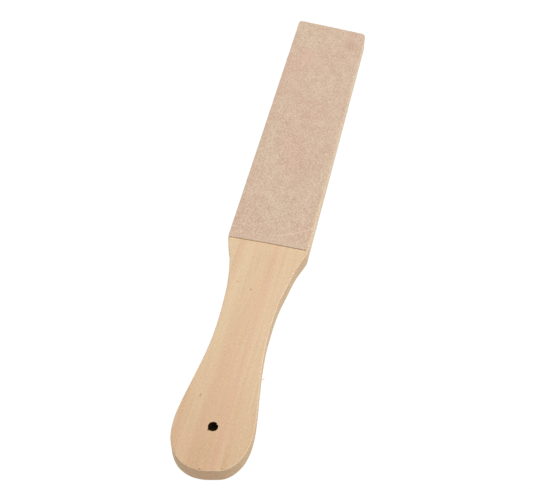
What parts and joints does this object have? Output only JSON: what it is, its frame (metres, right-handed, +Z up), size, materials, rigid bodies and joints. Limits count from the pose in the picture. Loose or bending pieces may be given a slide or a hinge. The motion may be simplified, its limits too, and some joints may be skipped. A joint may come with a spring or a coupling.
{
  "type": "leather strop",
  "caption": "Flat wooden paddle with a waisted handle and hanging hole, its straight blade faced with a rough leather strip on top and a smooth one underneath.",
  "frame": {"origin": "bottom centre of the whole strop's bounding box, on the underside leather's face", "axes": "+Y from the handle towards the blade's tip, +Z up through the rough leather face, +X to the right when the handle is towards the viewer"},
  "size_m": [0.05, 0.3608, 0.0142],
  "materials": {
    "wood": "sanded bare beech or similar pale wood, unfinished, straight grain along the handle",
    "rough_leather": "rough suede, flesh side out, pinkish beige, mottled with short fibres",
    "smooth_leather": "smooth vegetable-tanned grain side out, natural tan, faint pores",
    "glue": "dried contact adhesive, amber brown, slightly glossy"
  },
  "bodies": {
    "root": {"paddle_board": "wood", "rough_leather": "rough_leather", "rough_leather_glue": "glue", "smooth_leather": "smooth_leather", "smooth_leather_glue": "glue"}
  },
  "joints": []
}
